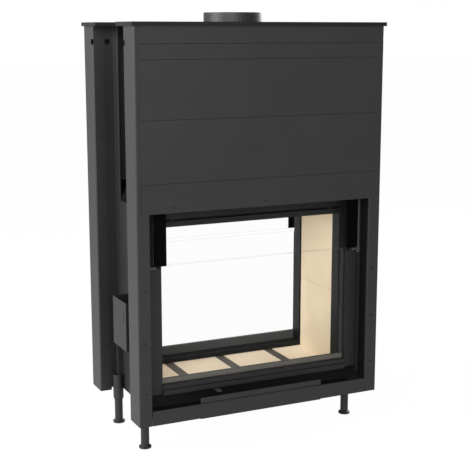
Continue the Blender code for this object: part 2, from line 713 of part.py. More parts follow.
def make_base():
    """Bottom rails with a shelf at each end that closes the column's foot, their plates, and the pan."""
    plate_setback = RAIL_SHEET + GAP
    pan_setback = plate_setback + RAIL_PLATE_SHEET + GAP
    column_end = HALF_WIDTH - COLUMN_SHEET - GAP
    shelf_plan = [
        (PANEL_INNER, RAIL_SHEET / 2),
        (BETWEEN_LIPS, RAIL_SHEET / 2),
        (BETWEEN_LIPS, COLUMN_LIP + GAP),
        (column_end, COLUMN_LIP + GAP),
        (column_end, FRAME_BACK),
        (PANEL_INNER, FRAME_BACK),
    ]
    for side_name, side in SIDES:
        mesh = bmesh.new()
        rail_span = (inward(side, 0), inward(side, RAIL_SHEET))
        box(mesh, (-BETWEEN_LIPS, BETWEEN_LIPS), rail_span, (up(0), up(RAIL_HIGH)))
        rail = node(f"{side_name}_bottom_rail", mesh, PAINT)
        shelves = bmesh.new()
        for _, hand in HANDS:
            placed = [(hand * x, inward(side, depth)) for x, depth in shelf_plan]
            prism(shelves, placed, "z", (up(PAN_LOW), up(PAN_LOW + PAN_SHEET)))
        boolean(rail, shelves, "UNION")
        mesh = bmesh.new()
        outline = rounded_top(
            RAIL_PLATE_HALF, up(RAIL_PLATE_LOW), up(RAIL_PLATE_HIGH), RAIL_PLATE_CORNER, RAIL_PLATE_SHIFT
        )
        plate_span = (inward(side, plate_setback), inward(side, plate_setback + RAIL_PLATE_SHEET))
        prism(mesh, outline, "y", plate_span)
        node(f"{side_name}_rail_plate", mesh, PAINT)
    mesh = bmesh.new()
    half = PANEL_INNER - GAP
    span = (inward(-1, pan_setback), inward(1, pan_setback))
    box(mesh, (-half, half), span, (up(PAN_LOW), up(PAN_LOW + PAN_SHEET)))
    pan = node("base_pan", mesh, BLACK_PAINT)
    bore = SPIGOT_RADIUS - SPIGOT_WALL
    spigot = bmesh.new()
    low = up(PAN_LOW - SPIGOT_DROP)
    high = up(PAN_LOW + PAN_SHEET / 2)
    prism(spigot, circle(SPIGOT_RADIUS, ROUND_SEGMENTS), "z", (low, high))
    boolean(pan, spigot, "UNION")
    hole = bmesh.new()
    prism(hole, circle(bore, ROUND_SEGMENTS), "z", (low - OVERRUN, up(PAN_LOW + PAN_SHEET) + OVERRUN))
    boolean(pan, hole, "DIFFERENCE")


def make_firebox_frames():
    for side_name, side in SIDES:
        mesh = bmesh.new()
        span = (inward(side, FRAME_SETBACK), inward(side, FRAME_BACK))
        pan_top = up(PAN_LOW + PAN_SHEET) + GAP
        box(mesh, (-FRAME_HALF, FRAME_HALF), span, (pan_top, up(FRAME_HIGH)))
        frame = node(f"{side_name}_firebox_frame", mesh, DOOR_PAINT)
        reveal = bmesh.new()
        half = WINDOW_HALF + REVEAL_SHEET
        depth_span = (inward(side, FRAME_SETBACK + FRAME_SHEET / 2), inward(side, REVEAL_DEPTH))
        box(reveal, (-half, half), depth_span, (up(SILL_LOW), up(WINDOW_HIGH + REVEAL_SHEET)))
        boolean(frame, reveal, "UNION")
        channel = bmesh.new()
        depth_span = (inward(side, REVEAL_DEPTH - REVEAL_SHEET), inward(side, REVEAL_DEPTH))
        box(channel, (-half, half), depth_span, (up(WINDOW_HIGH), up(FRAME_HIGH)))
        boolean(frame, channel, "UNION")
        cuts = bmesh.new()
        through = (inward(side, FRAME_SETBACK - OVERRUN), inward(side, REVEAL_DEPTH + OVERRUN))
        box(cuts, (-WINDOW_HALF, WINDOW_HALF), through, (up(WINDOW_LOW), up(WINDOW_HIGH)))
        plate_through = (inward(side, FRAME_SETBACK - OVERRUN), inward(side, FRAME_BACK + OVERRUN))
        ribs = int(WASH_HALF // WASH_RIB_PITCH)
        edges = [-WASH_HALF] + [i * WASH_RIB_PITCH for i in range(-ribs, ribs + 1)] + [WASH_HALF]
        for start, end in zip(edges, edges[1:]):
            low = start if start == edges[0] else start + WASH_RIB / 2
            high = end if end == edges[-1] else end - WASH_RIB / 2
            box(cuts, (low, high), plate_through, (up(WASH_LOW), up(WASH_HIGH)))
        if side < 0:
            half = LEVER_WIDTH / 2 + LEVER_SLOT_PLAY
            box(
                cuts,
                (LEVER_X - LEVER_TRAVEL - half, LEVER_X + half),
                plate_through,
                (up(LEVER_LOW - LEVER_SLOT_PLAY), up(LEVER_LOW + LEVER_SHEET + LEVER_SLOT_PLAY)),
            )
        boolean(frame, cuts, "DIFFERENCE")


def make_firebox_inside():
    """Linings, hearth tiles between the iron bars of their tray, and the baffle on the linings."""
    panel_face = PANEL_INNER - GAP
    depth = HALF_DEPTH - REVEAL_DEPTH - GAP
    for hand_name, hand in HANDS:
        face = hand * LINING_FACE
        groove = hand * (LINING_FACE + LINING_GROOVE)
        back = hand * panel_face
        outline = [
            (face, up(TILE_LOW)),
            (face, up(LINING_JOINT) - LINING_GROOVE / 2),
            (groove, up(LINING_JOINT)),
            (face, up(LINING_JOINT) + LINING_GROOVE / 2),
            (face, up(LINING_HIGH)),
            (back, up(LINING_HIGH)),
            (back, up(TILE_LOW)),
        ]
        mesh = bmesh.new()
        prism(mesh, outline, "y", (-depth, depth))
        node(f"lining_{hand_name}", mesh, CHAMOTTE)

    bar = HEARTH_BAR_WIDTH / 2 + GAP
    edges = [
        (-LINING_FACE + GAP, -HEARTH_BAR_PITCH - bar),
        (-HEARTH_BAR_PITCH + bar, -bar),
        (bar, HEARTH_BAR_PITCH - bar),
        (HEARTH_BAR_PITCH + bar, LINING_FACE - GAP),
    ]
    for number, span in enumerate(edges, 1):
        mesh = bmesh.new()
        box(mesh, span, (-depth, depth), (up(TILE_LOW), up(TILE_HIGH)))
        node(f"hearth_tile_{number}", mesh, CHAMOTTE)

    mesh = bmesh.new()
    tray_half = HALF_DEPTH - FRAME_BACK - GAP
    tray_high = TILE_LOW - GAP
    box(mesh, (-panel_face, panel_face), (-tray_half, tray_half), (up(TRAY_LOW), up(tray_high)))
    tray = node("hearth_tray", mesh, CAST_IRON)
    bars = bmesh.new()
    bar_half = depth + GAP + HEARTH_STRIP
    for centre in (-HEARTH_BAR_PITCH, 0, HEARTH_BAR_PITCH):
        span = (centre - HEARTH_BAR_WIDTH / 2, centre + HEARTH_BAR_WIDTH / 2)
        box(bars, span, (-bar_half, bar_half), (up(tray_high) - WELD, up(TILE_HIGH)))
    boolean(tray, bars, "UNION")
    strips = bmesh.new()
    half = LINING_FACE - GAP
    for _, side in SIDES:
        span = (side * (depth + GAP), side * bar_half)
        box(strips, (-half, half), span, (up(tray_high) - WELD, up(TILE_HIGH)))
    boolean(tray, strips, "UNION")

    mesh = bmesh.new()
    low = LINING_HIGH + GAP
    half_depth = HALF_DEPTH - REVEAL_DEPTH - BAFFLE_SMOKE_GAP
    box(mesh, (-BAFFLE_HALF, BAFFLE_HALF), (-half_depth, half_depth), (up(low), up(low + BAFFLE_SHEET)))
    node("flame_baffle", mesh, CHAMOTTE)


def make_upper_panes():
    """A holder plate like an upturned U, on a shelf that rests on the lintel, with the pane behind it."""
    half = BETWEEN_LIPS
    bar_low = up(LINTEL_LOW + HOOD_SHEET) + GAP
    outline = [
        (-half, bar_low),
        (-HOLDER_OUTER, bar_low),
        (-HOLDER_OUTER, up(PANE_LOW)),
        (-HOLDER_INNER, up(PANE_LOW)),
        (-HOLDER_INNER, bar_low),
    ]
    outline = outline + [(-x, z) for x, z in outline[::-1]]
    outline = outline + [(half, up(HOLDER_HIGH)), (-half, up(HOLDER_HIGH))]
    for side_name, side in SIDES:
        mesh = bmesh.new()
        span = (inward(side, HOLDER_SETBACK), inward(side, HOLDER_SETBACK + HOLDER_SHEET))
        prism(mesh, outline, "y", span)
        holder = node(f"{side_name}_pane_holder", mesh, BLACK_PAINT)
        shelf = bmesh.new()
        span = (inward(side, HOLDER_SEAT), inward(side, HOLDER_SETBACK + HOLDER_SHEET / 2))
        box(shelf, (-HOLDER_INNER, HOLDER_INNER), span, (bar_low, bar_low + HOLDER_SHEET))
        boolean(holder, shelf, "UNION")
        mesh = bmesh.new()
        near = HOLDER_SETBACK + HOLDER_SHEET + GAP
        span = (inward(side, near), inward(side, near + PANE_THICKNESS))
        box(mesh, (-PANE_HALF, PANE_HALF), span, (up(PANE_LOW), up(PANE_HIGH)))
        node(f"{side_name}_upper_pane", mesh, CLEAR_GLASS)


def make_doors():
    for side_name, side in SIDES:
        slide = pivot(f"{side_name}_door_slide", (0, inward(side, DOOR_SETBACK), up(DOOR_LOW)))
        make_door_frame(side_name, side, slide)
        make_door_glass(side_name, side, slide)
        make_lift_gear(side_name, side, slide)


def make_door_frame(side_name, side, slide):
    """Welded U of two stiles and a bottom rail, with its stepped front cover and lower guide shoes."""
    mesh = bmesh.new()
    outline = [
        (-STILE_OUTER, up(DOOR_LOW)),
        (STILE_OUTER, up(DOOR_LOW)),
        (STILE_OUTER, up(DOOR_HIGH)),
        (STILE_INNER, up(DOOR_HIGH)),
        (STILE_INNER, up(DOOR_RAIL_HIGH)),
        (-STILE_INNER, up(DOOR_RAIL_HIGH)),
        (-STILE_INNER, up(DOOR_HIGH)),
        (-STILE_OUTER, up(DOOR_HIGH)),
    ]
    prism(mesh, outline, "y", (inward(side, DOOR_SETBACK), inward(side, DOOR_SETBACK + DOOR_FRAME_DEPTH)))
    frame = node(f"{side_name}_door_frame", mesh, DOOR_PAINT, slide)
    back = DOOR_SETBACK + WELD
    groove = COVER_SETBACK + COVER_STEP + COVER_GROOVE
    profile = [
        (COVER_SETBACK, COVER_LOW),
        (back, COVER_LOW),
        (back, DOOR_RAIL_HIGH),
        (COVER_SETBACK + COVER_STEP, DOOR_RAIL_HIGH),
        (COVER_SETBACK + COVER_STEP, COVER_STEP_LOW + COVER_GROOVE),
        (groove, COVER_STEP_LOW + COVER_GROOVE),
        (groove, COVER_STEP_LOW),
        (COVER_SETBACK, COVER_STEP_LOW),
    ]
    cover = bmesh.new()
    outline = [(inward(side, depth), up(height)) for depth, height in profile]
    prism(cover, outline, "x", (-COVER_HALF, COVER_HALF))
    boolean(frame, cover, "UNION")
    shoes = bmesh.new()
    for _, hand in HANDS:
        start = STILE_OUTER - WELD
        box(
            shoes,
            (hand * start, hand * (STILE_OUTER + SHOE_REACH)),
            (inward(side, SHOE_SETBACK), inward(side, SHOE_SETBACK + SHOE_WIDTH)),
            (up(SHOE_LOW), up(SHOE_LOW + SHOE_HEIGHT)),
        )
    boolean(frame, shoes, "UNION")


def make_door_glass(side_name, side, slide):
    mesh = bmesh.new()
    span = (inward(side, GLASS_SETBACK), inward(side, GLASS_BACK))
    box(mesh, (-DOOR_GLASS_HALF, DOOR_GLASS_HALF), span, (up(DOOR_GLASS_LOW), up(DOOR_GLASS_HIGH)))
    node(f"{side_name}_door_glass", mesh, CLEAR_GLASS, slide)
    mesh = bmesh.new()
    outline = [
        (-RETAINER_OUTER, up(RETAINER_LOW)),
        (RETAINER_OUTER, up(RETAINER_LOW)),
        (RETAINER_OUTER, up(DOOR_HIGH)),
        (RETAINER_INNER, up(DOOR_HIGH)),
        (RETAINER_INNER, up(RETAINER_RAIL_HIGH)),
        (-RETAINER_INNER, up(RETAINER_RAIL_HIGH)),
        (-RETAINER_INNER, up(DOOR_HIGH)),
        (-RETAINER_OUTER, up(DOOR_HIGH)),
    ]
    prism(mesh, outline, "y", (inward(side, GLASS_BACK + GAP), inward(side, FRAME_SETBACK - GAP)))
    node(f"{side_name}_glass_retainer", mesh, DOOR_PAINT, slide)


def make_lift_gear(side_name, side, slide):
    """On each stile a knobbed lift rod, its bracket and nut, and an upper shoe that runs in the guide."""
    front = ROD_SETBACK - BRACKET_MARGIN
    outer = ROD_X + BRACKET_MARGIN
    shelf = STILE_OUTER + GAP + WELD
    clear_of_guide = GUIDE_SETBACK - SHOE_PLAY
    back = DOOR_SETBACK + DOOR_FRAME_DEPTH
    plan = [
        (BRACKET_INNER, front),
        (outer, front),
        (outer, clear_of_guide),
        (shelf, clear_of_guide),
        (shelf, back),
        (BRACKET_INNER, back),
    ]
    low = up(DOOR_HIGH) + GAP
    high = low + BRACKET_HEIGHT
    for hand_name, hand in HANDS:
        mesh = bmesh.new()
        profile = [
            (KNOB_RADIUS, low - NUT_HEIGHT),
            (KNOB_RADIUS, high + KNOB_HEIGHT),
            (ROD_RADIUS, high + KNOB_HEIGHT),
            (ROD_RADIUS, up(ROD_HIGH)),
        ]
        turned(mesh, profile, BAR_SEGMENTS, (hand * ROD_X, inward(side, ROD_SETBACK)))
        rod = node(f"{side_name}_lift_rod_{hand_name}", mesh, DOOR_PAINT, slide)
        bracket = bmesh.new()
        prism(bracket, [(hand * x, inward(side, depth)) for x, depth in plan], "z", (low, high))
        boolean(rod, bracket, "UNION")
        shoe = bmesh.new()
        box(
            shoe,
            (hand * (STILE_OUTER + GAP), hand * (STILE_OUTER + SHOE_REACH)),
            (inward(side, SHOE_SETBACK), inward(side, SHOE_SETBACK + SHOE_WIDTH)),
            (up(SHOE_TOP_LOW), high - WELD),
        )
        boolean(rod, shoe, "UNION")


def make_pulleys():
    """A grooved pulley on the pin in each column's head."""
    half = PULLEY_WIDTH / 2
    groove = PULLEY_GROOVE / 2
    bore = AXLE_RADIUS + AXLE_PLAY
    for side_name, side in SIDES:
        middle = inward(side, ROD_SETBACK)
        profile = [
            (bore, middle - half),
            (PULLEY_RADIUS, middle - half),
            (PULLEY_RADIUS, middle - groove),
            (PULLEY_GROOVE_RADIUS, middle - groove),
            (PULLEY_GROOVE_RADIUS, middle + groove),
            (PULLEY_RADIUS, middle + groove),
            (PULLEY_RADIUS, middle + half),
            (bore, middle + half),
        ]
        for hand_name, hand in HANDS:
            centre = (hand * PULLEY_X, up(PULLEY_HIGH))
            axis = pivot(f"{side_name}_pulley_axis_{hand_name}", (centre[0], middle, centre[1]))
            mesh = bmesh.new()
            turned(mesh, profile, BAR_SEGMENTS, centre, "y", closed=True)
            smooth(node(f"{side_name}_pulley_{hand_name}", mesh, BRIGHT_STEEL, axis))


def make_cables_and_weights():
    """Each cable runs from its rod up over the pulley and down to the counterweight in the column."""
    weight_top = up(WEIGHT_LOW + WEIGHT_HEIGHT)
    for side_name, side in SIDES:
        middle = inward(side, ROD_SETBACK)
        slide = pivot(f"{side_name}_weight_slide", (0, middle, up(WEIGHT_LOW)))
        for hand_name, hand in HANDS:
            path = [(math.pi, up(ROD_HIGH) + GAP)]
            for step in range(BAR_SEGMENTS // 2 + 1):
                path.append((math.pi * (1 - 2 * step / BAR_SEGMENTS), None))
            path.append((0, weight_top + GAP))
            rings = []
            for turn, height in path:
                ring = []
                for a, b in circle(CABLE_RADIUS, SCREW_SEGMENTS):
                    reach = PULLEY_PITCH_RADIUS + a
                    x = hand * (PULLEY_X + reach * math.cos(turn))
                    z = up(PULLEY_HIGH) + reach * math.sin(turn) if height is None else height
                    ring.append((x, middle + b, z))
                rings.append(ring)
            mesh = bmesh.new()
            loft(mesh, rings, closed=False)
            smooth(node(f"{side_name}_cable_{hand_name}", mesh, BRIGHT_STEEL))
            mesh = bmesh.new()
            inner = WEIGHT_CABLE_X - WEIGHT_WIDTH / 2
            box(
                mesh,
                (hand * inner, hand * (inner + WEIGHT_WIDTH)),
                (inward(side, WEIGHT_SETBACK), inward(side, WEIGHT_SETBACK + WEIGHT_DEPTH)),
                (up(WEIGHT_LOW), weight_top),
            )
            node(f"{side_name}_counterweight_{hand_name}", mesh, RAW_STEEL, slide)


def make_air_lever():
    slide = pivot("air_lever_slide", (LEVER_X, inward(-1, FRAME_SETBACK), up(LEVER_LOW)))
    mesh = bmesh.new()
    back = FRAME_BACK + GAP
    heights = (up(LEVER_LOW), up(LEVER_LOW + LEVER_SHEET))
    half = LEVER_WIDTH / 2
    reach = back + SHUTTER_SHEET / 2
    box(mesh, (LEVER_X - half, LEVER_X + half), (inward(-1, LEVER_SETBACK), inward(-1, reach)), heights)
    lever = node("air_lever", mesh, DOOR_PAINT, slide)
    plate = bmesh.new()
    half = SHUTTER_WIDTH / 2
    span = (inward(-1, back), inward(-1, back + SHUTTER_SHEET))
    box(plate, (LEVER_X - half, LEVER_X + half), span, (up(SHUTTER_LOW), up(SHUTTER_HIGH)))
    boolean(lever, plate, "UNION")


def make_side_box():
    mesh = bmesh.new()
    inner = -PANEL_OUTER - GAP
    span_y = (inward(-1, SIDE_BOX_START), inward(-1, SIDE_BOX_END))
    box(mesh, (-HALF_WIDTH, inner), span_y, (up(SIDE_BOX_LOW), up(SIDE_BOX_HIGH)))
    casing = node("side_box", mesh, PAINT)
    pocket = bmesh.new()
    wall = SIDE_BOX_SHEET
    span_y = (inward(-1, SIDE_BOX_START + wall), inward(-1, SIDE_BOX_END - wall))
    heights = (up(SIDE_BOX_LOW) + wall, up(SIDE_BOX_HIGH) + OVERRUN)
    box(pocket, (-HALF_WIDTH + wall, inner - wall), span_y, heights)
    boolean(casing, pocket, "DIFFERENCE")
    slots = bmesh.new()
    top = SIDE_BOX_HIGH - SIDE_BOX_SLOT_DROP
    slot_heights = (up(top - SIDE_BOX_SLOT_HEIGHT), up(top))
    through = (-HALF_WIDTH - OVERRUN, -HALF_WIDTH + wall + OVERRUN)
    for near in (SIDE_BOX_START + SIDE_BOX_SLOT_INSET, SIDE_BOX_END - SIDE_BOX_SLOT_END_INSET):
        slot_span = (inward(-1, near), inward(-1, near + SIDE_BOX_SLOT_WIDTH))
        box(slots, through, slot_span, slot_heights)
    boolean(casing, slots, "DIFFERENCE")


def make_feet():
    """Four screw feet, each a leg on a round pad, in the sleeves of the side frames."""
    profile = [
        (PAD_RADIUS, 0),
        (PAD_RADIUS, PAD_EDGE),
        (LEG_RADIUS, PAD_EDGE + PAD_NECK),
        (LEG_RADIUS, up(LEG_HIGH)),
    ]
    for side_name, side in SIDES:
        for hand_name, hand in HANDS:
            centre = (hand * SLEEVE_X, inward(side, FOOT_SETBACK))
            screw = pivot(f"{side_name}_foot_screw_{hand_name}", (centre[0], centre[1], 0))
            foot = bmesh.new()
            turned(foot, profile, BAR_SEGMENTS, centre)
            smooth(node(f"{side_name}_foot_{hand_name}", foot, PAINT, screw))


clear_scene()
make_lid()
make_flue()
make_columns()
make_side_frames()
make_hoods()
make_base()
make_firebox_frames()
make_firebox_inside()
make_upper_panes()
make_doors()
make_pulleys()
make_cables_and_weights()
make_air_lever()
make_side_box()
make_feet()
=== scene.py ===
# Looks of a wood-burning tunnel fireplace insert: steel casing on four levelling feet, glass on both faces,
# lower doors that slide up behind the hoods on cables and counterweights.
import math

import bmesh
import bpy
import numpy as np
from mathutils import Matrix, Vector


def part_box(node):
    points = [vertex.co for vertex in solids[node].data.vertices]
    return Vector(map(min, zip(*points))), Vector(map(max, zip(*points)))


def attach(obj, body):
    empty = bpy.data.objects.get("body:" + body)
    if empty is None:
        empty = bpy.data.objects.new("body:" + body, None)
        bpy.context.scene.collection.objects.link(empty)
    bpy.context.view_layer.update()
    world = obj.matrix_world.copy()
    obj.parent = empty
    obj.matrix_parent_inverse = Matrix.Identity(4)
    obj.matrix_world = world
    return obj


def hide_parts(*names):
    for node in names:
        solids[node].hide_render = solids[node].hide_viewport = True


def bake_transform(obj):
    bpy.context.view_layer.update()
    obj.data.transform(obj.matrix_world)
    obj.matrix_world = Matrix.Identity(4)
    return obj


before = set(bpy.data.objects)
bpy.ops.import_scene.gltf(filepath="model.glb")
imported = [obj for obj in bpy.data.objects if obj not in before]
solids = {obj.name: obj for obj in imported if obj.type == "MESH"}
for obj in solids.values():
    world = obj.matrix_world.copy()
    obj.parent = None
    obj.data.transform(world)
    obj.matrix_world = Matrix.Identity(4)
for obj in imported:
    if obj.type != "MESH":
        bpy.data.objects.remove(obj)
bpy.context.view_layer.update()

scene = bpy.context.scene


# Room
# A plain studio that is no part of the insert: one floor that runs out of sight, a white surround, and soft
# lamps on the left, in front, overhead, and behind on the right. Floor and surround look white to the camera
# and partly in gloss, and throw less light on the insert than such a white would.
WHITE = (1, 1, 1)
FLOOR_HALF = 40.0
FLOOR_GREY = (0.64, 0.64, 0.64)
FLOOR_WHITE_SEEN = 0.985
FLOOR_WHITE_MIRRORED = 0.6
FILL_STRENGTH = 0.45
BACKDROP_STRENGTH = 1.0
CAMERA_PLACE = (-1.5926, -3.3973, 1.4053)
CAMERA_DOWN = 10.87
CAMERA_TURN = 25.24
CAMERA_LENS = 81.8
CAMERA_SENSOR = 36


def feed(tree, socket, value):
    """Set a socket: an output is linked to it, a colour gets an alpha of 1, and a number is set as it is."""
    if isinstance(value, bpy.types.NodeSocket):
        tree.links.new(value, socket)
    elif isinstance(value, tuple):
        socket.default_value = (*value, 1)
    else:
        socket.default_value = value


def add(tree, kind, inputs, output=0, **settings):
    """Add a shader node, make its settings, then feed its inputs, and return one of its outputs."""
    node = tree.nodes.new("ShaderNode" + kind)
    for name, value in settings.items():
        setattr(node, name, value)
    for key, value in inputs.items():
        feed(tree, node.inputs[key], value)
    return node.outputs[output]


def new_look(name):
    """Make a material, and return it with its node tree and its main shader."""
    look = bpy.data.materials.new(name)
    look.use_nodes = True
    return look, look.node_tree, look.node_tree.nodes["Principled BSDF"]


def softbox(name, place, aim, size, power):
    """A square lamp at a place, turned so that its face looks at the aim point."""
    light = bpy.data.lights.new(name, "AREA")
    light.size = size
    light.energy = power
    lamp = bpy.data.objects.new(name, light)
    lamp.location = place
    sight = np.subtract(aim, place)
    lamp.rotation_euler = (
        math.acos(-sight[2] / np.linalg.norm(sight)),
        0,
        math.atan2(sight[1], sight[0]) - math.pi / 2,
    )
    scene.collection.objects.link(lamp)


floor_corners = [(x * FLOOR_HALF, y * FLOOR_HALF, 0) for x, y in ((-1, -1), (1, -1), (1, 1), (-1, 1))]
floor_mesh = bpy.data.meshes.new("studio_floor")
floor_mesh.from_pydata(floor_corners, [], [(0, 1, 2, 3)])
studio_floor = bpy.data.objects.new("studio_floor", floor_mesh)
scene.collection.objects.link(studio_floor)
floor_look, tree, shader = new_look("studio_floor")
feed(tree, shader.inputs["Base Color"], FLOOR_GREY)
feed(tree, shader.inputs["Roughness"], 1.0)
feed(tree, shader.inputs["Specular IOR Level"], 0.0)
rays = tree.nodes.new("ShaderNodeLightPath").outputs
seen = add(tree, "Math", {0: rays["Is Camera Ray"], 1: FLOOR_WHITE_SEEN}, operation="MULTIPLY")
mirrored = add(tree, "Math", {0: rays["Is Glossy Ray"], 1: FLOOR_WHITE_MIRRORED}, operation="MULTIPLY")
white_share = add(tree, "Math", {0: seen, 1: mirrored}, operation="MAXIMUM")
glow = add(tree, "Emission", {"Color": WHITE})
floor_surface = add(tree, "MixShader", {"Fac": white_share, 1: shader.outputs["BSDF"], 2: glow})
feed(tree, tree.nodes["Material Output"].inputs["Surface"], floor_surface)
floor_mesh.materials.append(floor_look)

surround = bpy.data.worlds.new("studio")
surround.use_nodes = True
scene.world = surround
tree = surround.node_tree
soft_fill = tree.nodes["Background"]
feed(tree, soft_fill.inputs["Color"], WHITE)
feed(tree, soft_fill.inputs["Strength"], FILL_STRENGTH)
backdrop = add(tree, "Background", {"Color": WHITE, "Strength": BACKDROP_STRENGTH})
rays = tree.nodes.new("ShaderNodeLightPath").outputs
seen = add(tree, "Math", {0: rays["Is Camera Ray"], 1: rays["Is Transmission Ray"]}, operation="MAXIMUM")
seen_or_mirrored = add(tree, "Math", {0: seen, 1: rays["Is Glossy Ray"]}, operation="MAXIMUM")
sky = add(tree, "MixShader", {"Fac": seen_or_mirrored, 1: soft_fill.outputs["Background"], 2: backdrop})
feed(tree, tree.nodes["World Output"].inputs["Surface"], sky)

softbox("lamp_left", place=(-4.2, 0.3, 2.5), aim=(-0.4, 0, 0.9), size=2.4, power=440)
softbox("lamp_front", place=(-1.9, -3.3, 2.3), aim=(0, 0, 0.6), size=3.2, power=240)
softbox("lamp_top", place=(0.2, -0.4, 4.2), aim=(0, 0, 0.8), size=2.4, power=20)
softbox("lamp_right", place=(4.0, 2.2, 2.2), aim=(0.2, 0, 0.8), size=2.4, power=180)

camera_data = bpy.data.cameras.new("photo_view")
camera_data.sensor_width = CAMERA_SENSOR
camera_data.lens = CAMERA_LENS
photo_view = bpy.data.objects.new("photo_view", camera_data)
photo_view.location = CAMERA_PLACE
photo_view.rotation_euler = (math.radians(90 - CAMERA_DOWN), 0, math.radians(-CAMERA_TURN))
scene.collection.objects.link(photo_view)
scene.camera = photo_view
scene.view_settings.view_transform = "Standard"


# Casing
# Columns, lintels, side frames, rails, collar and feet of folded 2 to 3 mm steel, sprayed with graphite stove
# paint. The paint is satin, with a fine pebbled skin, faint cloudiness and a little dust on level faces.
GRAPHITE = (0.0066, 0.0066, 0.0067)
SATIN = {"roughness": 0.5, "cloud": 0.10, "grain": 1400, "dust": 0.01, "gloss": 0.32}
DUST = (0.35, 0.34, 0.32)
DUST_FROM_UPWARD = 0.7
CLOUD_SCALE = 5.0
CLOUD_DETAIL = 5.0
CLOUD_LOW = 0.3
CLOUD_HIGH = 0.7
SKIN_DETAIL = 2.0
SKIN_DEPTH = 0.001
SHINE_SPREAD = 0.06
WELD_DISTANCE = 0.00002
SHARP_ANGLE = 50


def toned(colour, share):
    """A colour made darker or lighter by a share, no lighter than white."""
    return tuple(min(c * share, 1) for c in colour)


def ramp(tree, value, near, near_colour, far, far_colour):
    """A colour that runs from one at near to another at far."""
    node = tree.nodes.new("ShaderNodeValToRGB")
    first, last = node.color_ramp.elements
    first.position = near
    first.color = (*near_colour, 1)
    last.position = far
    last.color = (*far_colour, 1)
    tree.links.new(value, node.inputs["Fac"])
    return node.outputs["Color"]


def mix(tree, share, first, second):
    """A colour between two, where a share of 1 is the second."""
    return add(tree, "Mix", {"Factor": share, "A": first, "B": second}, "Result", data_type="RGBA")


def coated(name, colour, roughness, cloud, grain, metallic=0.0, dust=0.0, bump=0.04, gloss=0.5):
    """Paint or raw steel: slow noise shifts its colour by cloud, fine noise of scale grain is its skin."""
    look, tree, shader = new_look(name)
    feed(tree, shader.inputs["Metallic"], metallic)
    feed(tree, shader.inputs["Specular IOR Level"], gloss)
    place = add(tree, "TexCoord", {}, "Object")
    slow = add(tree, "TexNoise", {"Vector": place, "Scale": CLOUD_SCALE, "Detail": CLOUD_DETAIL}, "Fac")
    fine = add(tree, "TexNoise", {"Vector": place, "Scale": grain, "Detail": SKIN_DETAIL}, "Fac")
    clouded = ramp(tree, slow, CLOUD_LOW, toned(colour, 1 - cloud), CLOUD_HIGH, toned(colour, 1 + cloud))
    facing = add(tree, "NewGeometry", {}, "Normal")
    upward = add(tree, "SeparateXYZ", {"Vector": facing}, "Z")
    level = add(tree, "MapRange", {"Value": upward, "From Min": DUST_FROM_UPWARD, "To Max": dust}, "Result")
    specks = add(tree, "Math", {0: level, 1: fine}, operation="MULTIPLY")
    feed(tree, shader.inputs["Base Color"], mix(tree, specks, clouded, DUST))
    dull, shiny = roughness + SHINE_SPREAD, roughness - SHINE_SPREAD
    shine = add(tree, "MapRange", {"Value": slow, "To Min": shiny, "To Max": dull}, "Result")
    feed(tree, shader.inputs["Roughness"], shine)
    skin = add(tree, "Bump", {"Height": fine, "Strength": bump, "Distance": SKIN_DEPTH}, "Normal")
    feed(tree, shader.inputs["Normal"], skin)
    return look


def dress(names, look, edge=0.0):
    """Give solids a look; edge, if any, welds the faces and rounds the sharp corners by that radius."""
    for name in names:
        solid = solids[name]
        solid.data.materials.clear()
        solid.data.materials.append(look)
        if edge:
            weld = solid.modifiers.new("weld", "WELD")
            weld.merge_threshold = WELD_DISTANCE
            bevel = solid.modifiers.new("edge", "BEVEL")
            bevel.width = edge
            bevel.segments = 2
            bevel.limit_method = "ANGLE"
            bevel.angle_limit = math.radians(SHARP_ANGLE)


def both(kind):
    """The front and the rear solid of a kind."""
    return [f"{side}_{kind}" for side in ("front", "rear")]


def all_four(kind):
    """The left and right solids of a kind, in front and at the rear."""
    return [f"{one}_{hand}" for one in both(kind) for hand in ("left", "right")]


graphite_paint = coated("graphite_paint", GRAPHITE, **SATIN)
dress(["flue_collar", "side_frame_left", "side_frame_right"], graphite_paint)
dress(both("lintel") + both("bottom_rail") + both("rail_plate"), graphite_paint)
dress(all_four("column") + all_four("foot"), graphite_paint)


# Hoods
# The sheet above each opening, pressed with four seams and painted like the casing. Its inner face, which
# shows through the notch of the side, is a lighter grey: painted light for the light that falls into the
# notch.
HOOD_INSIDE_PAINTED_LIGHT = (0.06, 0.06, 0.061)
HOOD_SPLIT_DEPTH = 0.00035
HOOD_SPLIT = -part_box("front_hood")[1].y + HOOD_SPLIT_DEPTH


def second_tone(look, axis, near, far, tone):
    """Give another colour to what lies between near and far from the middle, along one axis of the object."""
    tree = look.node_tree
    base_colour = tree.nodes["Principled BSDF"].inputs["Base Color"]
    place = add(tree, "TexCoord", {}, "Object")
    along = add(tree, "SeparateXYZ", {"Vector": place}, axis)
    reach = add(tree, "Math", {0: along}, operation="ABSOLUTE")
    middle, half = (near + far) / 2, (far - near) / 2
    within = add(tree, "Math", {0: reach, 1: middle, 2: half}, operation="COMPARE")
    feed(tree, base_colour, mix(tree, within, base_colour.links[0].from_socket, tone))


hood_paint_with_painted_light = coated("hood_paint_with_painted_light", GRAPHITE, **SATIN)
# Painted light: the hood's inner face gets a lighter grey than its paint.
second_tone(hood_paint_with_painted_light, "Y", 0, HOOD_SPLIT, HOOD_INSIDE_PAINTED_LIGHT)
dress(both("hood"), hood_paint_with_painted_light)


# Lid and side box
# The tray-shaped top plate, and the open box on the left side that takes the cables of the controls. Both are
# folded steel, with a darker and duller coat than the casing's.
dull_paint = coated(
    "dull_paint", (0.004, 0.004, 0.0041), roughness=0.55, cloud=0.10, grain=1400, dust=0.005, gloss=0.15
)
dress(["lid"], dull_paint)
box_paint = coated(
    "box_paint", (0.0053, 0.0053, 0.0054), roughness=0.52, cloud=0.10, grain=1400, dust=0.005, gloss=0.23
)
dress(["side_box"], box_paint)


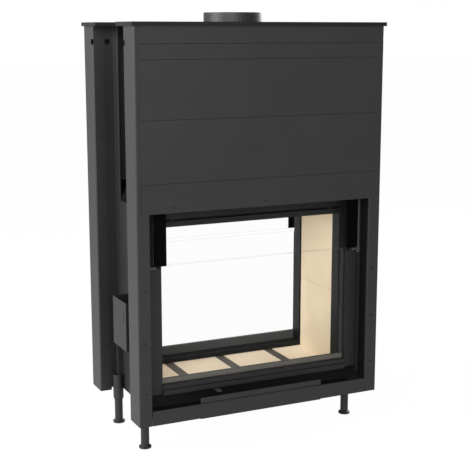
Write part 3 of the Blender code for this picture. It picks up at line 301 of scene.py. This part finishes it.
# Screws
# Blackened steel screws: three along each lintel, two on the edge of each column's face, and six on each
# column's back flange, where the side frame is fastened. Heads are low domes, a little sunk in the middle.
SCREW_HEAD = 0.0018
SCREW_RECESS = 0.7
SCREW_RADIUS = 0.0034
SMALL_SCREW_RADIUS = 0.0024
SCREW_RINGS = 5
SCREW_SPOKES = 16
LINTEL_END_TO_SCREW = 0.109
LINTEL_FOOT_TO_SCREW = 0.018
EDGE_SCREWS_APART = 0.292
EDGE_SCREW_IN = 0.0131
FLANGE_SCREW_IN = 0.0259
FLANGE_SCREW_FIRST = 0.2857
FLANGE_SCREW_STEP = 0.1512
FLANGE_SCREW_COUNT = 6


def closed_piece(name, verts, faces, look):
    """A smooth closed piece of the scene, with its faces turned outwards."""
    mesh = bpy.data.meshes.new(name)
    mesh.from_pydata(verts, [], faces)
    work = bmesh.new()
    work.from_mesh(mesh)
    bmesh.ops.recalc_face_normals(work, faces=work.faces)
    work.to_mesh(mesh)
    work.free()
    mesh.shade_smooth()
    mesh.materials.append(look)
    piece = bpy.data.objects.new(name, mesh)
    scene.collection.objects.link(piece)
    return piece


def screw_heads(name, places, radius, look):
    """Domes at (x, y, z, side of y): radius r = R sin(t), height = H cos(t) for t from 0 to 90 degrees."""
    t = np.linspace(0, math.pi / 2, SCREW_RINGS)[1:, None]
    a = np.linspace(0, 2 * math.pi, SCREW_SPOKES, endpoint=False)
    x, z = radius * np.sin(t) * np.cos(a), radius * np.sin(t) * np.sin(a)
    rings = np.stack([x, np.broadcast_to(SCREW_HEAD * np.cos(t), x.shape), z], -1)
    dome = np.concatenate([[[0, SCREW_HEAD * SCREW_RECESS, 0]], rings.reshape(-1, 3)])
    turn = [(j, (j + 1) % SCREW_SPOKES) for j in range(SCREW_SPOKES)]
    ring_starts = range(1, len(dome), SCREW_SPOKES)
    faces = [(0, 1 + j, 1 + k) for j, k in turn]
    for inner, outer in zip(ring_starts, ring_starts[1:]):
        faces += [(inner + j, outer + j, outer + k, inner + k) for j, k in turn]
    faces.append(tuple(range(len(dome) - 1, len(dome) - 1 - SCREW_SPOKES, -1)))
    verts = [dome * (1, out, 1) + (x, y, z) for x, y, z, out in places]
    polys = [tuple(i * len(dome) + k for k in face) for i in range(len(places)) for face in faces]
    piece = closed_piece(name, np.concatenate(verts).tolist(), polys, look)
    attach(piece, "body")


screw_steel = coated("screw_steel", (0.004, 0.004, 0.0041), roughness=0.5, cloud=0.1, grain=900, gloss=0.15)
lintel_low, lintel_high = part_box("front_lintel")
column_low, column_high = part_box("front_column_right")
lintel_reach = lintel_high.x - LINTEL_END_TO_SCREW
lintel_height = lintel_low.z + LINTEL_FOOT_TO_SCREW
edge_across = column_high.x - EDGE_SCREW_IN
edge_heights = (lintel_height, lintel_height + EDGE_SCREWS_APART)
flange_across = column_high.x - FLANGE_SCREW_IN
flange_heights = [FLANGE_SCREW_FIRST + FLANGE_SCREW_STEP * k for k in range(FLANGE_SCREW_COUNT)]
lintel_screws = [
    (x, s * -lintel_low.y, lintel_height, s) for s in (-1, 1) for x in (-lintel_reach, 0.0, lintel_reach)
]
edge_screws = [
    (h * edge_across, s * -column_low.y, z, s) for s in (-1, 1) for h in (-1, 1) for z in edge_heights
]
flange_screws = [
    (h * flange_across, s * -column_high.y, z, -s) for s in (-1, 1) for h in (-1, 1) for z in flange_heights
]
screw_heads("lintel_screws", lintel_screws, SCREW_RADIUS, screw_steel)
screw_heads("edge_screws", edge_screws, SMALL_SCREW_RADIUS, screw_steel)
screw_heads("flange_screws", flange_screws, SCREW_RADIUS, screw_steel)


# Firebox steel
# The folded window frames with their deep reveals, the base pan, the holders of the upper panes and the smoke
# dome. All are welded from black-painted sheet. The holders and the dome are the darkest and the dullest.
black_paint = coated("black_paint", (0.004, 0.004, 0.0042), roughness=0.6, cloud=0.12, grain=1200, gloss=0.06)
dress(["base_pan"], black_paint)
holder_paint = coated(
    "holder_paint", (0.0008, 0.0008, 0.0008), roughness=0.6, cloud=0.1, grain=1200, gloss=0.015
)
dress(both("pane_holder"), holder_paint)
frame_paint = coated("frame_paint", (0.005, 0.005, 0.0051), roughness=0.5, cloud=0.12, grain=1200, gloss=0.18)
dress(both("firebox_frame"), frame_paint)
dome_steel = coated("dome_steel", (0.003, 0.003, 0.0031), roughness=0.65, cloud=0.2, grain=500, gloss=0.03)
dress(["smoke_dome"], dome_steel)


# Fireclay
# Pressed cream fireclay: a board along each side, a slab that closes the firebox above, and four hearth tiles
# that differ a little in tone. Above the windows the side boards are painted black, a painted shade where the
# slots of the window frames look at them. All edges are rounded.
BOARD_CREAM = (0.80, 0.67, 0.49)
TILE_TONES = ((0.78, 0.65, 0.48), (0.86, 0.73, 0.55), (0.90, 0.77, 0.58), (0.92, 0.79, 0.60))
# Painted shade: the black band on the side boards above the windows, from its foot to its head.
PAINTED_SHADE_BLACK = (0.006, 0.006, 0.006)
PAINTED_SHADE_FOOT = 0.7665
PAINTED_SHADE_HEAD = 0.9
CLAY_EDGE = 0.001
CLAY_ROUGHNESS = 0.92
CLAY_GLOSS = 0.25
PATCH_SCALE = 7.0
PATCH_DETAIL = 4.0
PATCH_LOW = 0.25
PATCH_HIGH = 0.75
PATCH_DARK = 0.93
PATCH_PALE = 1.05
GRAIN_SCALE = 420.0
GRAIN_CORE = 0.05
GRAIN_RIM = 0.25
GRAIN_STRENGTH = 0.16
GRAIN_TONE = 0.55
CLAY_SCALE = 650.0
CLAY_DETAIL = 3.0
CLAY_BUMP = 0.15


def fireclay(name, colour):
    """Pressed fireclay: slow warm patches, sparse darker grains from a cell pattern, and a dry matt skin."""
    look, tree, shader = new_look(name)
    feed(tree, shader.inputs["Roughness"], CLAY_ROUGHNESS)
    feed(tree, shader.inputs["Specular IOR Level"], CLAY_GLOSS)
    place = add(tree, "TexCoord", {}, "Object")
    patches = add(tree, "TexNoise", {"Vector": place, "Scale": PATCH_SCALE, "Detail": PATCH_DETAIL}, "Fac")
    cells = add(tree, "TexVoronoi", {"Vector": place, "Scale": GRAIN_SCALE}, "Distance")
    fine = add(tree, "TexNoise", {"Vector": place, "Scale": CLAY_SCALE, "Detail": CLAY_DETAIL}, "Fac")
    warm = ramp(tree, patches, PATCH_LOW, toned(colour, PATCH_DARK), PATCH_HIGH, toned(colour, PATCH_PALE))
    reach = {"From Min": GRAIN_CORE, "From Max": GRAIN_RIM, "To Min": GRAIN_STRENGTH, "To Max": 0.0}
    grains = add(tree, "MapRange", {"Value": cells, **reach}, "Result")
    feed(tree, shader.inputs["Base Color"], mix(tree, grains, warm, toned(colour, GRAIN_TONE)))
    skin = add(tree, "Bump", {"Height": fine, "Strength": CLAY_BUMP, "Distance": SKIN_DEPTH}, "Normal")
    feed(tree, shader.inputs["Normal"], skin)
    return look


cream_board = fireclay("cream_board", BOARD_CREAM)
dress(["flame_baffle"], cream_board, edge=CLAY_EDGE)
lining_board_with_painted_shade = fireclay("lining_board_with_painted_shade", BOARD_CREAM)
# Painted shade: a black band on the side boards above the windows.
second_tone(lining_board_with_painted_shade, "Z", PAINTED_SHADE_FOOT, PAINTED_SHADE_HEAD, PAINTED_SHADE_BLACK)
dress(["lining_left", "lining_right"], lining_board_with_painted_shade, edge=CLAY_EDGE)
for i, tone in enumerate(TILE_TONES):
    dress([f"hearth_tile_{i + 1}"], fireclay(f"hearth_tile_{i + 1}_clay", tone), edge=CLAY_EDGE)


# Hearth tray
# The cast-iron tray that holds the four tiles, with bars between them and a strip along each side. It is
# brown from the heat, and its skin is coarse, as it comes from the sand.
brown_iron = coated(
    "brown_iron", (0.075, 0.062, 0.048), roughness=0.65, cloud=0.25, grain=260, metallic=0.2, bump=0.25
)
dress(["hearth_tray"], brown_iron)


# Glass
# Clear 4 mm glass-ceramic: a fixed upper pane and a door pane on each face. It shows as a thin sheen over
# what is behind it, so its colour is faint and most of the light passes. Its cut rim is pale green.
PANE_TINT = (0.05, 0.055, 0.055)
PANE_COVER = 0.003
SHEEN_COVER = 0.3
RIM_TINT = (0.25, 0.36, 0.33)
RIM_COVER = 0.6
PANE_GLOSS = 1.0
HAZE_SCALE = 3.0
HAZE_CLEAR = 0.02
HAZE_DULL = 0.06
SHEEN_BLEND = 0.2


def clear_glass(name):
    """Clear pane. Its cover, the share hiding what is behind, grows with Fresnel and is high on the rim."""
    look, tree, shader = new_look(name)
    feed(tree, shader.inputs["Specular IOR Level"], PANE_GLOSS)
    place = add(tree, "TexCoord", {}, "Object")
    haze = add(tree, "TexNoise", {"Vector": place, "Scale": HAZE_SCALE}, "Fac")
    film = add(tree, "MapRange", {"Value": haze, "To Min": HAZE_CLEAR, "To Max": HAZE_DULL}, "Result")
    feed(tree, shader.inputs["Roughness"], film)
    facing = add(tree, "NewGeometry", {}, "True Normal")
    outward = add(tree, "SeparateXYZ", {"Vector": facing}, "Y")
    flat = add(tree, "Math", {0: outward}, operation="ABSOLUTE")
    grazing = add(tree, "LayerWeight", {"Blend": SHEEN_BLEND}, "Fresnel")
    sheen = add(tree, "MapRange", {"Value": grazing, "To Min": PANE_COVER, "To Max": SHEEN_COVER}, "Result")
    cover = add(tree, "Mix", {"Factor": flat, "A": RIM_COVER, "B": sheen}, "Result")
    feed(tree, shader.inputs["Alpha"], cover)
    feed(tree, shader.inputs["Base Color"], mix(tree, flat, RIM_TINT, PANE_TINT))
    return look


pane_glass = clear_glass("pane_glass")
dress(both("upper_pane") + both("door_glass"), pane_glass)


# Doors
# Each lower door is a welded U of flat bar with a stepped cover along its foot, in matt dark grey paint. A
# strip bent to a U holds the glass from behind. The front one is grey-brown along its foot.
RETAINER_FOOT = 0.19
RETAINER_BEND = 0.2485
RETAINER_BROWN = (0.085, 0.079, 0.07)

door_paint = coated("door_paint", (0.0068, 0.0068, 0.007), roughness=0.5, cloud=0.12, grain=1300, gloss=0.22)
dress(both("door_frame"), door_paint)
retainer_paint = coated(
    "retainer_paint", (0.026, 0.025, 0.024), roughness=0.5, cloud=0.1, grain=1300, gloss=0.25
)
second_tone(retainer_paint, "Z", RETAINER_FOOT, RETAINER_BEND, RETAINER_BROWN)
dress(["front_glass_retainer"], retainer_paint)
dusty_paint = coated("dusty_paint", (0.045, 0.045, 0.044), roughness=0.5, cloud=0.1, grain=1300, gloss=0.35)
dress(["rear_glass_retainer"], dusty_paint)


# Lift rods and air lever
# Dull blackened steel: a rod with a bracket and a nut on each stile of the doors, and the flat lever that
# comes out through the slot of the front window frame and carries the air shutter.
rod_steel = coated("rod_steel", (0.03, 0.03, 0.031), roughness=0.5, cloud=0.1, grain=900, gloss=0.25)
dress(all_four("lift_rod"), rod_steel)
lever_steel = coated("lever_steel", (0.035, 0.035, 0.036), roughness=0.5, cloud=0.1, grain=900, gloss=0.25)
dress(["air_lever"], lever_steel)


# Pulleys and counterweights
# Turned bright pulleys on pins in the heads of the columns, and counterweights cut from raw steel bar that
# hang inside the columns. The weights' sharp edges are filed off.
WEIGHT_EDGE = 0.0015

bright_steel = coated("bright_steel", (0.42, 0.42, 0.43), roughness=0.3, cloud=0.08, grain=800, metallic=1.0)
dress(all_four("pulley"), bright_steel)
raw_steel = coated("raw_steel", (0.05, 0.05, 0.053), roughness=0.5, cloud=0.2, grain=500, metallic=0.7)
dress(all_four("counterweight"), raw_steel, edge=WEIGHT_EDGE)


# Cables
# Twisted steel cable, 4 mm thick, from each lift rod up over its pulley and down to the counterweight. It is
# two tubes, one up to the pulley and one over it and down.
cable_low, cable_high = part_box("front_cable_right")
CABLE_RADIUS = (cable_high.y - cable_low.y) / 2
PULLEY_TURN = (cable_high.x - cable_low.x) / 2 - CABLE_RADIUS
PULLEY_ACROSS = (cable_high.x + cable_low.x) / 2
PULLEY_OUT = -(cable_high.y + cable_low.y) / 2
PULLEY_HEIGHT = cable_high.z - CABLE_RADIUS - PULLEY_TURN
ROD_END = cable_low.z
CABLE_GAP = ROD_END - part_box("front_lift_rod_right")[1].z
WEIGHT_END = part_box("front_counterweight_right")[1].z + CABLE_GAP
BEND_POINTS = 25
CABLE_SPOKES = 12
STRAND_SCALE = 400.0
STRAND_STRENGTH = 0.6
STRAND_DEPTH = 0.0006

cable_steel = coated("cable_steel", (0.36, 0.36, 0.37), roughness=0.35, cloud=0.1, grain=900, metallic=1.0)
tree = cable_steel.node_tree
place = add(tree, "TexCoord", {}, "Object")
strands = add(tree, "TexWave", {"Vector": place, "Scale": STRAND_SCALE}, "Fac", bands_direction="DIAGONAL")
lay = add(tree, "Bump", {"Height": strands, "Strength": STRAND_STRENGTH, "Distance": STRAND_DEPTH}, "Normal")
feed(tree, tree.nodes["Principled BSDF"].inputs["Normal"], lay)


def cable_run(name, path, node):
    """Tube about a path in the x-z plane: ring points p + R (cos a Y + sin a N), with N square to the run."""
    points = np.array(path)
    run = np.concatenate([[0], np.cumsum(np.linalg.norm(np.diff(points, axis=0), axis=1))])
    forward = np.gradient(points, run, axis=0)
    forward /= np.linalg.norm(forward, axis=1)[:, None]
    across = np.array([0.0, 1.0, 0.0])
    square = np.cross(forward, across)[:, None]
    a = np.linspace(0, 2 * math.pi, CABLE_SPOKES, endpoint=False)[:, None]
    rings = points[:, None] + CABLE_RADIUS * (np.cos(a) * across + np.sin(a) * square)
    starts = [i * CABLE_SPOKES for i in range(len(points))]
    turn = [(j, (j + 1) % CABLE_SPOKES) for j in range(CABLE_SPOKES)]
    faces = []
    for near, far in zip(starts, starts[1:]):
        faces += [(near + j, near + k, far + k, far + j) for j, k in turn]
    faces.append(tuple(range(CABLE_SPOKES)))
    faces.append(tuple(range(starts[-1], starts[-1] + CABLE_SPOKES)))
    piece = closed_piece(name, rings.reshape(-1, 3).tolist(), faces, cable_steel)
    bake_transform(piece)
    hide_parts(node)


for side, out in (("front", -1), ("rear", 1)):
    for hand, way in (("left", -1), ("right", 1)):
        y = out * PULLEY_OUT
        door_x = way * (PULLEY_ACROSS - PULLEY_TURN)
        weight_x = way * (PULLEY_ACROSS + PULLEY_TURN)
        t = np.linspace(0, math.pi, BEND_POINTS)
        over_x = way * (PULLEY_ACROSS - PULLEY_TURN * np.cos(t))
        over_z = PULLEY_HEIGHT + PULLEY_TURN * np.sin(t)
        over = np.stack([over_x, np.full(BEND_POINTS, y), over_z], -1)
        door_path = [(door_x, y, PULLEY_HEIGHT), (door_x, y, ROD_END)]
        weight_path = [*over.tolist(), (weight_x, y, WEIGHT_END)]
        node = f"{side}_cable_{hand}"
        cable_run(f"{side}_cable_{hand}_door_run", door_path, node)
        cable_run(f"{side}_cable_{hand}_weight_run", weight_path, node)
